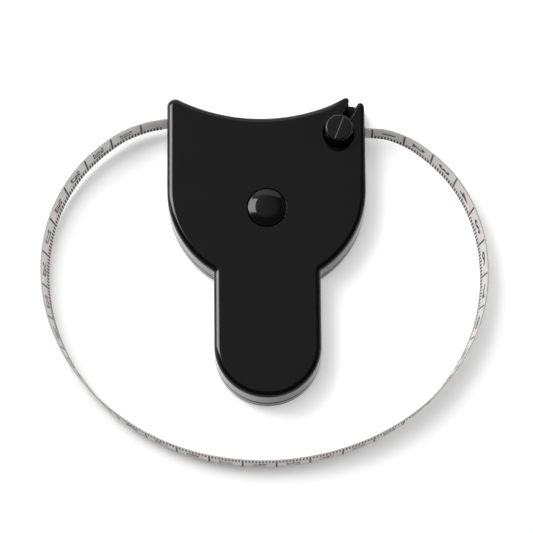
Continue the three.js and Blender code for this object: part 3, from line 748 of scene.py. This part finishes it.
tape_bump = {"Height": threads.outputs[0], "Strength": 0.5, "Distance": 0.02 * MM}
tape_relief = node(coated_tape, "Bump", tape_bump)
tape_links = {
    "Base Color": thread_colour.outputs[2],
    "Roughness": 0.48,
    "IOR": 1.5,
    "Subsurface Weight": 1.0,
    "Subsurface Radius": (1.0, 0.95, 0.95),
    "Subsurface Scale": 0.6 * MM,
    "Normal": tape_relief.outputs["Normal"],
}
surface(coated_tape, tape_links)

# The slit edge of the band, coloured a darker grey than its faces.
tape_edge = new_material("slit_tape_edge")
edge_colour = mottle(tape_edge, 0.8, 2.0, "#b2aeae", "#a09c9c")[0]
surface(tape_edge, {"Base Color": edge_colour, "Roughness": 0.7})

free_route = [(exit_x - fit, exit_y)] + loop_route + end_route + [(entry_x + fit, entry_y)]
free_line = even_line(smooth_line(free_route, route_steps), ring_gap)
free_runs = runs_of(free_line)
free_length = free_runs[-1]
split_place = Vector(loop_route[-1])
split = min(range(len(free_line)), key=lambda i: (free_line[i] - split_place).length)
slit_way = Vector((math.cos(peg_slit_angle), math.sin(peg_slit_angle)))
turn_start = free_line[-1]
turn_lead = turn_start + (turn_start - free_line[-2]).normalized() * entry_lead
turn_by = peg_axis + slit_way * (peg_r + 3 * fit)
turn_end = peg_axis + slit_way * (peg_r - fit)
peg_turn = []
for i in range(1, turn_steps + 1):
    t = i / turn_steps
    place = turn_start * (1 - t) ** 3 + turn_lead * 3 * t * (1 - t) ** 2
    peg_turn.append(place + turn_by * 3 * t * t * (1 - t) + turn_end * t**3)
peg_turn.append(peg_axis - slit_way * (peg_r - fit))
inside_runs = runs_of([turn_start] + peg_turn)[1:]
from_wall = [min(run, free_length - run) for run in free_runs] + [-run for run in inside_runs]
tape_line = free_line + peg_turn
all_rings = tape_rings(tape_line, from_wall)


tape_loop = tape_band("tape_free_loop", all_rings[: split + 1])
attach(tape_loop, "case")
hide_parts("tape_loop")

# The end stretch, from the loop into the peg's slit, has its placing baked into its points.
tape_end = tape_band("tape_peg_end", all_rings[split:])
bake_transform(tape_end)
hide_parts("tape_end")

hub_r = 15.5
roll_r = 19.805
roll_turns = round((roll_r - hub_r) / tape_thick)
spiral = []
for i in range(roll_turns * roll_steps + 1):
    turn = i / (roll_turns * roll_steps)
    r = hub_r + tape_thick / 2 + (roll_r - hub_r - tape_thick) * turn
    angle = turn * roll_turns * 2 * math.pi
    spiral.append(Vector((r * math.cos(angle), r * math.sin(angle))))
tape_roll = tape_band("tape_wound_roll", tape_rings(spiral, [-twist_run] * len(spiral)))
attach(tape_roll, "drum")
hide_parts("tape_roll")

lead_r = roll_r + fit + tape_thick / 2
lead_lip = Vector((exit_x + wall, exit_y))
lead_angle = math.atan2(lead_lip.y, lead_lip.x) - math.acos(lead_r / lead_lip.length)
lead_start = Vector((math.cos(lead_angle), math.sin(lead_angle))) * lead_r
lead_route = [lead_start, lead_start.lerp(lead_lip, 0.5), lead_lip, Vector((exit_x - fit, exit_y))]
lead_line = even_line(smooth_line(lead_route, lead_steps), ring_gap)
lead_runs = runs_of(lead_line)
tape_lead = tape_band("tape_inner_lead", tape_rings(lead_line, [run - lead_runs[-1] for run in lead_runs]))
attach(tape_lead, "case")
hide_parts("tape_lead")

# Printed scale
# A plain centimetre scale in brown-black ink on both faces. Each face has its millimetre marks
# along one edge, a line across the band at each centimetre, and numbers that read along the band.
scale_start_x = 32.4
back_shift = 3.2
ink_proud = 0.035
ink_sunk = 0.1
line_wide = 0.55
mark_wide = 0.52
mark_long = 2.4
half_mark_long = 2.7
number_tall = 4.2
number_narrow = 0.8
two_figure_narrow = 0.6
number_over_marks = 4.95
number_gap = 8
figure_share = 0.73
one_figure_bold = 0.18
two_figure_bold = 0.06
figure_merge = 0.002

# Printing ink: thin and satin, brown-black, a little worn in small patches.
printing_ink = new_material("brown_black_printing_ink")
ink_colour = mottle(printing_ink, 0.7, 2.0, "#140f0e", "#2a2220")[0]
surface(printing_ink, {"Base Color": ink_colour, "Roughness": 0.55})

scale_zero = next(i for i in range(split, len(free_line)) if free_line[i].x < scale_start_x)
zero_run = free_runs[scale_zero]


def ring_at(run):
    """The band's ring at any distance along the free tape."""
    share = min(max(run / free_length, 0), 1) * (len(free_line) - 1)
    i = min(int(share), len(free_line) - 2)
    a, b = all_rings[i], all_rings[i + 1]
    t = share - i
    return tuple(p.lerp(q, t) if isinstance(p, Vector) else p + (q - p) * t for p, q in zip(a, b))


def print_on(made, shape, run, rise, outer):
    """Lays a flat shape's points on the band. Its x runs to the marked edge, its y up the scale."""
    points, faces = shape
    base = len(made[0])
    for x, y, proud in points:
        height = rise - x
        depth = tape_thick / 2 + proud
        ring = ring_at(run - y)
        if outer:
            made[0].append(on_tape(ring, depth, tape_width - height))
        else:
            made[0].append(on_tape(ring, -depth, height))
    made[1].extend([base + i for i in face] for face in faces)


def ink_bar(long, wide):
    """A short bar of ink, its length across the band."""
    points = [
        (x, y, z) for z in (-ink_sunk, ink_proud) for x, y in
        ((-long, -wide / 2), (0, -wide / 2), (0, wide / 2), (-long, wide / 2))
    ]
    sides = [(i, (i + 1) % 4, (i + 1) % 4 + 4, i + 4) for i in range(4)]
    return points, [(3, 2, 1, 0), (4, 5, 6, 7)] + sides


def ink_number(value):
    """A number set in a plain upright face, drawn narrow, as a thin solid."""
    bpy.ops.object.select_all(action="DESELECT")
    bpy.ops.object.text_add()
    text = bpy.context.object
    text.data.body = str(value)
    text.data.size = number_tall / figure_share * MM
    text.data.offset = (one_figure_bold if value < 10 else two_figure_bold) * MM
    text.data.extrude = (ink_proud + ink_sunk) / 2 * MM
    text.data.resolution_u = 3
    bpy.ops.object.convert(target="MESH")
    bpy.ops.object.mode_set(mode="EDIT")
    bpy.ops.mesh.select_all(action="SELECT")
    bpy.ops.mesh.remove_doubles(threshold=figure_merge * MM)
    bpy.ops.object.mode_set(mode="OBJECT")
    solid = bpy.context.object.data
    spots = [p.co / MM for p in solid.vertices]
    middle_x = (min(p.x for p in spots) + max(p.x for p in spots)) / 2
    middle_y = (min(p.y for p in spots) + max(p.y for p in spots)) / 2
    lift = (ink_proud - ink_sunk) / 2
    narrow = number_narrow if value < 10 else two_figure_narrow
    points = [((p.x - middle_x) * narrow, p.y - middle_y, p.z + lift) for p in spots]
    faces = [tuple(face.vertices) for face in solid.polygons]
    bpy.data.objects.remove(bpy.context.object)
    return points, faces


bars = {
    "line": ink_bar(tape_width - 2 * cut_edge, line_wide),
    "half": ink_bar(half_mark_long - cut_edge, mark_wide),
    "mark": ink_bar(mark_long - cut_edge, mark_wide),
}
prints = {"loop": ([], []), "end": ([], [])}
for outer, zero in ((False, zero_run), (True, zero_run - back_shift)):
    for millimetre in range(int(zero)):
        run = zero - millimetre
        made = prints["loop" if run < free_runs[split] else "end"]
        kind = "line" if millimetre % 10 == 0 else "half" if millimetre % 5 == 0 else "mark"
        print_on(made, bars[kind], run, cut_edge, outer)
        if millimetre % 10 == 5 and run > number_gap:
            print_on(made, ink_number(millimetre // 10 + 1), run, number_over_marks, outer)


def print_piece(name, made):
    """A mesh of one stretch's print."""
    piece = new_piece(name, *made)
    dress(piece, printing_ink)
    return piece


loop_print = print_piece("tape_loop_print", prints["loop"])
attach(loop_print, "case")
end_print = print_piece("tape_end_print", prints["end"])
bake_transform(end_print)

# Brake ring and push button
# A rubber ring on the button's flange bears on the drum cover until the button is pressed. The
# button is a domed black ABS cap, moulded with its flange, stem and two keys.

# Moulded rubber: dark grey and matt.
brake_rubber = moulded_plastic("matt_brake_rubber", "#3c3a38", "#33312f", (0.82, 0.92), 0.4, 0.004)
dress(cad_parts["brake_ring"], brake_rubber)

button_r = 5.65
button_flange_r = 9
button_flange_low = 8.2
button_flange_top = 9
button_top = 13.8
button_edge_r = 0.35
button_slopes = [(0, 0), (3.1, 5), (3.7, 11), (5.3, 17)]
stem_r = 2
stem_low = 3.3
crown_steps = 8


def turn_profile(profile, steps):
    """A closed solid turned round the Z axis from radius and height pairs, from axis to axis."""
    r, z = profile[0]
    piece = start_point(r, 0, z)
    for (r0, z0), (r1, z1) in zip(profile, profile[1:]):
        draw_line(r1 - r0, 0, z1 - z0)
    bpy.ops.mesh.select_all(action="SELECT")
    bpy.ops.mesh.spin(steps=steps, angle=2 * math.pi, center=(0, 0, 0), axis=(0, 0, 1))
    bpy.ops.mesh.select_all(action="SELECT")
    bpy.ops.mesh.remove_doubles(threshold=MM * MM)
    bpy.ops.mesh.normals_make_consistent(inside=False)
    bpy.ops.object.mode_set(mode="OBJECT")
    return piece


button_profile = [
    (0, stem_low),
    (stem_r, stem_low),
    (stem_r, button_flange_low),
    (button_flange_r, button_flange_low),
    (button_flange_r, button_flange_top),
    (button_r, button_flange_top),
]
crown = [(0, button_top)]
for (r0, slope0), (r1, slope1) in zip(button_slopes, button_slopes[1:]):
    for i in range(1, crown_steps + 1):
        r = r0 + (r1 - r0) * i / crown_steps
        slope = math.radians(slope0 + (slope1 - slope0) * (i - 0.5) / crown_steps)
        crown.append((r, crown[-1][1] - (r1 - r0) / crown_steps * math.tan(slope)))
edge_end = math.pi / 2 - math.radians(button_slopes[-1][1])
edge_x = button_r - button_edge_r
edge_z = crown[-1][1] - button_edge_r * math.sin(edge_end)
for i in range(crown_steps + 1):
    a = i / crown_steps * edge_end
    button_profile.append((edge_x + button_edge_r * math.cos(a), edge_z + button_edge_r * math.sin(a)))
button_profile += reversed(crown[:-1])
push_button = turn_profile(button_profile, fine_sides)
push_button.name = "push_button_cap"
for side in (-1, 1):
    inner, outer = sorted((side * (arbor_bore_r + fit), side * arbor_r))
    key = slab(inner, outer, -key_half, key_half, key_low, button_flange_top - fit)
    join_or_cut(push_button, key, "UNION")
finish_faces(push_button)

# The button's ABS comes from a mould that is polished a little finer than the case's.
button_abs = moulded_plastic("polished_black_abs", "#0c0c0d", "#08080a", (0.07, 0.1), 0.8, 0.0003, 0.37)
dress(push_button, button_abs)
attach(push_button, "button")
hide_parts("push_button")

# Front shell
# The front half of the case, moulded like the rear one. It has the button's hole, the peg's bay
# with its slot to the concave edge, the hook beside it, and bosses for the three screws.
front_rim = 4.35
edge_r = 1.75
slot_edge_r = 0.3
hook_edge_r = 0.8
tip_run = 6
bay_reach = 15
edge_steps = 8
button_hole_r = 5.95
rim_r = 0.12
rim_steps = 6
screw_pilot_top = 10


def front_edge(place):
    """The front's edge radius: small round the bay, larger on the hook, largest on the outline."""
    at = place - peg_axis
    if at.length > bay_reach:
        return edge_r
    aside = at.dot(slot_left) - slot_shift
    least = hook_edge_r if aside < 0 else slot_edge_r
    if at.length < peg_hole_r + fit:
        past_mouth = (at - slot_way * peg_hole_r).length - slot_width / 2
        return least + (slot_edge_r - least) * ease(past_mouth, 0, slot_width)
    return least + (edge_r - least) * ease(abs(aside) - slot_width / 2, 0, tip_run)


# A bevel can't change its width round the small tips, so the rounded edge is laid in rings.
outline_block = case_block(0, front_rim, case_top, with_bay=True)
top_face = max(outline_block.data.polygons, key=lambda face: face.center.z)
outline = [outline_block.data.vertices[i].co.xy / MM for i in top_face.vertices]
bpy.data.objects.remove(outline_block)
inward = []
for i in range(len(outline)):
    along = (outline[(i + 1) % len(outline)] - outline[i - 1]).normalized()
    inward.append(Vector((-along.y, along.x)))
rings = []
for inset, z in ((seam_edge_r, front_rim), (0, front_rim + seam_edge_r)):
    ring = [place + way * inset for place, way in zip(outline, inward)]
    rings.append([(x * MM, y * MM, z * MM) for x, y in ring])
for step in range(edge_steps + 1):
    a = step / edge_steps * math.pi / 2
    ring = []
    for place, way in zip(outline, inward):
        r = front_edge(place)
        x, y = place + way * r * (1 - math.cos(a))
        ring.append((x * MM, y * MM, (case_top - r * (1 - math.sin(a))) * MM))
    rings.append(ring)
front_shell = ring_solid("front_shell_moulding", rings)
hollow = case_block(wall, under_case, roof_low)
join_or_cut(hollow, bay_block(0), "DIFFERENCE")
join_or_cut(front_shell, hollow, "DIFFERENCE")
lap = case_block(lap_skirt, under_case, lip_top + fit)
join_or_cut(lap, bay_block(0), "DIFFERENCE")
join_or_cut(front_shell, lap, "DIFFERENCE")
for x, y in screw_places.values():
    join_or_cut(front_shell, rod(x, y, boss_r, boss_top + fit, roof_low + fit), "UNION")
    join_or_cut(front_shell, rod(x, y, screw_hole_r, under_case, screw_pilot_top), "DIFFERENCE")
button_hole = [(0, roof_low - fit), (button_hole_r, roof_low - fit)]
for i in range(rim_steps + 1):
    a = i / rim_steps * math.pi / 2
    rim = (button_hole_r + rim_r * (1 - math.cos(a)), case_top - rim_r + rim_r * math.sin(a))
    button_hole.append(rim)
button_hole += [(button_hole_r + rim_r, over_case), (0, over_case)]
join_or_cut(front_shell, turn_profile(button_hole, fine_sides), "DIFFERENCE")
join_or_cut(front_shell, swing_room(slot_angle, under_case, roof_low), "DIFFERENCE")
join_or_cut(front_shell, tape_slit(), "DIFFERENCE")
finish_faces(front_shell)
dress(front_shell, black_abs)
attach(front_shell, "case")
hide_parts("front_shell")

# Case screws
# Three zinc-plated self-tapping screws with a cross recess, driven from the back into the front
# shell's bosses, their heads sunk below the rear face.
screw_r = 1.1
screw_head_r = 2.1
screw_head_low = 0.4
screw_head_top = 1.7
screw_crown = 0.4
screw_tip = 9.7
recess_half = 0.26
recess_deep = 0.9
recess_arm = 1.35
crown_in = 0.12
crown_up = 0.16
screw_sides = 48

# Zinc plating on steel: bright and blue-white, with a finely uneven sheen.
zinc_steel = new_material("zinc_plated_steel")
zinc_colour, plating = mottle(zinc_steel, 0.9, 3.0, "#b9bbbf", "#a4a7ab")
zinc_rough = node(zinc_steel, "MapRange", {"Value": plating, "To Min": 0.26, "To Max": 0.46})
zinc_links = {"Base Color": zinc_colour, "Roughness": zinc_rough.outputs["Result"], "Metallic": 1.0}
surface(zinc_steel, zinc_links)

screw_profile = [
    (0, screw_head_low),
    (screw_head_r - screw_crown, screw_head_low),
    (screw_head_r - crown_in, screw_head_low + crown_up),
    (screw_head_r, screw_head_low + screw_crown),
    (screw_head_r, screw_head_top),
    (screw_r, screw_head_top),
    (screw_r, screw_tip - screw_r),
    (0, screw_tip),
]
for name, (x, y) in screw_places.items():
    screw = turn_profile(screw_profile, screw_sides)
    screw.name = name + "_driven"
    for half_x, half_y in ((recess_arm, recess_half), (recess_half, recess_arm)):
        arm = slab(-half_x, half_x, -half_y, half_y, under_case, screw_head_low + recess_deep)
        join_or_cut(screw, arm, "DIFFERENCE")
    pick(screw)
    screw.location = (x * MM, y * MM, 0)
    bpy.ops.object.transform_apply()
    finish_faces(screw)
    dress(screw, zinc_steel)
    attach(screw, "case")
    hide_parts(name)

# Lock peg
# A loose black ABS pin that the tape's end is threaded into. A slit runs right across it, wide
# where the tape sits and narrow above, and the pin drops into the bay beside the hook.
peg_low = 1.8
peg_top = 19
peg_edge_r = 0.55
peg_base = 0.8
peg_slit = 0.12
slit_bevel = 0.2
bevel_share = 0.9
slit_bevel_angle = math.radians(-15)
tape_top = 10.8
lock_peg = rod(0, 0, peg_r, peg_low, peg_top, fine_sides)
lock_peg.name = "lock_peg_pin"
round_edge(lock_peg, peg_low, 4, lambda place: peg_edge_r)
round_edge(lock_peg, peg_top, 6, lambda place: peg_edge_r)
tape_room = tape_thick / 2 + fit
slit_cut = slab(-2 * peg_r, 2 * peg_r, -tape_room, tape_room, peg_low + peg_base, tape_top + fit)
thin_slit = slab(-3 * peg_r, 3 * peg_r, -peg_slit / 2, peg_slit / 2, tape_top, peg_top + 1)
join_or_cut(slit_cut, thin_slit, "UNION")
join_or_cut(lock_peg, slit_cut, "DIFFERENCE")

# One side of the slit is bevelled, and the bevel catches the light as a thin line.
bevel_cut = slab(-2 * peg_r, 2 * peg_r, 0, slit_bevel, 0, 1)
bpy.ops.transform.rotate(value=-slit_bevel_angle, orient_axis="X", center_override=(0, 0, 0))
bpy.ops.transform.translate(value=(0, -(peg_slit / 2 + slit_bevel * bevel_share) * MM, peg_top * MM))
bpy.ops.object.transform_apply()
join_or_cut(lock_peg, bevel_cut, "DIFFERENCE")
pick(lock_peg)
lock_peg.rotation_euler = (0, 0, peg_slit_angle)
lock_peg.location = (peg_x * MM, peg_y * MM, 0)
bpy.ops.object.transform_apply()
finish_faces(lock_peg)

# The peg's ABS is satin, from a mould that is only ground.
peg_abs = moulded_plastic("satin_black_abs", "#0d0d0e", "#09090a", (0.2, 0.26), 0.6, 0.0006, 0.37)
dress(lock_peg, peg_abs)
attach(lock_peg, "peg")
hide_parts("lock_peg")

# Floor and studio light
# A white table that takes the soft shadow of a softbox high on the left. A lamp overhead and fills
# from the right and the front lighten it, and two cards show only as reflections in the plastic.
floor_size = 6
floor_drop = 0.00002
# Painted light on the table: how strongly it glows round the object, where that glow is centred, and the
# distance at which it ends.
floor_glow = 0.26
glow_middle = (0.015, -0.012, 0)
glow_inner = 0.04
glow_outer = 0.072
bpy.ops.object.select_all(action="DESELECT")
bpy.ops.mesh.primitive_plane_add(size=floor_size, location=(0, 0, -floor_drop))
floor = bpy.context.object
floor.name = "table_top"

# Matt white board. Round the object it also has painted light: it glows to the eye and in reflections,
# brightest near the middle and gone by 72 mm out, which pales the shadows' edges there.
white_table = new_material("white_table")
seen = node(white_table, "LightPath").outputs
eye_or_gloss = {0: seen["Is Camera Ray"], 1: seen["Is Glossy Ray"]}
camera_or_gloss = node(white_table, "Math", eye_or_gloss, operation="MAXIMUM")
any_view = {0: camera_or_gloss.outputs[0], 1: seen["Is Transmission Ray"]}
looked_at = node(white_table, "Math", any_view, operation="MAXIMUM")
floor_place = node(white_table, "TexCoord").outputs["Object"]
two_places = {0: floor_place, 1: glow_middle}
from_middle = node(white_table, "VectorMath", two_places, operation="DISTANCE")
glow_span = {
    "Value": from_middle.outputs["Value"],
    "From Min": glow_inner,
    "From Max": glow_outer,
    "To Min": floor_glow,
    "To Max": 0.0,
}
glow_here = node(white_table, "MapRange", glow_span, interpolation_type="SMOOTHSTEP").outputs["Result"]
glow = node(white_table, "Math", {0: looked_at.outputs[0], 1: glow_here}, operation="MULTIPLY")
table_links = {
    "Base Color": linear("#f8f8f8"),
    "Roughness": 0.9,
    "Specular IOR Level": 0.0,
    "Emission Color": (1, 1, 1, 1),
    "Emission Strength": glow.outputs[0],
}
surface(white_table, table_links)
dress(floor, white_table)


def softbox(name, place, aim, width, height, power):
    """A rectangular lamp at a place in metres that faces another."""
    bpy.ops.object.select_all(action="DESELECT")
    bpy.ops.object.light_add(type="AREA", location=place)
    lamp = bpy.context.object
    lamp.name = name
    lamp.data.shape = "RECTANGLE"
    lamp.data.size = width
    lamp.data.size_y = height
    lamp.data.energy = power
    lamp.rotation_euler = (Vector(place) - Vector(aim)).to_track_quat("Z", "Y").to_euler()
    return lamp


softbox("left_softbox", (-0.46, 0.295, 0.72), (0, 0.295, 0), 0.42, 0.53, 5)
back_card = softbox("back_card", (0.07, 0.8, 0.6), (0, 0, 0), 1, 0.6, 1.6)
left_card = softbox("left_card", (-0.7, 0.24, 0.51), (0, 0, 0), 0.25, 0.53, 3.3)
for card in (back_card, left_card):
    card.visible_diffuse = False
overhead = softbox("overhead", (-0.2, 0.06, 0.8), (0, 0, 0), 0.3, 0.5, 2.2)
right_fill = softbox("right_fill", (0.82, -0.15, 0.55), (0, 0, 0), 1, 0.7, 5.2)
front_fill = softbox("front_fill", (-0.7, -0.45, 0.45), (0, 0, 0), 1, 0.7, 1.2)
for lamp in (overhead, right_fill, front_fill):
    lamp.visible_glossy = False

# The room is dim: lighter at the back and on the left, dark at the front, with some light low down.
world = bpy.data.worlds.new("dim_studio")
bpy.context.scene.world = world
world.use_nodes = True
world.node_tree.nodes.clear()
towards = node(world, "TexCoord").outputs["Generated"]
split_way = node(world, "SeparateXYZ", {"Vector": towards}).outputs
room = {"Value": split_way["Y"], "From Min": -0.1, "From Max": 0.25, "To Min": 0.02, "To Max": 0.5}
dim = node(world, "MapRange", room, interpolation_type="SMOOTHSTEP").outputs["Result"]
sideways = {"Value": split_way["X"], "From Min": -0.35, "From Max": 0.35, "To Min": 1.35, "To Max": 0.15}
leftward = node(world, "MapRange", sideways).outputs["Result"]
dim = node(world, "Math", {0: dim, 1: leftward}, operation="MULTIPLY").outputs[0]
horizon = {"Value": split_way["Z"], "From Min": 0.05, "From Max": 0.3, "To Min": 0.6, "To Max": 0.0}
low_light = node(world, "MapRange", horizon, interpolation_type="SMOOTHSTEP").outputs["Result"]
strength = node(world, "Math", {0: dim, 1: low_light}, operation="ADD").outputs[0]
sky = node(world, "Background", {"Color": (1, 1, 1, 1), "Strength": strength})
node(world, "OutputWorld", {"Surface": sky.outputs["Background"]})
bpy.context.scene.view_settings.view_transform = "Standard"
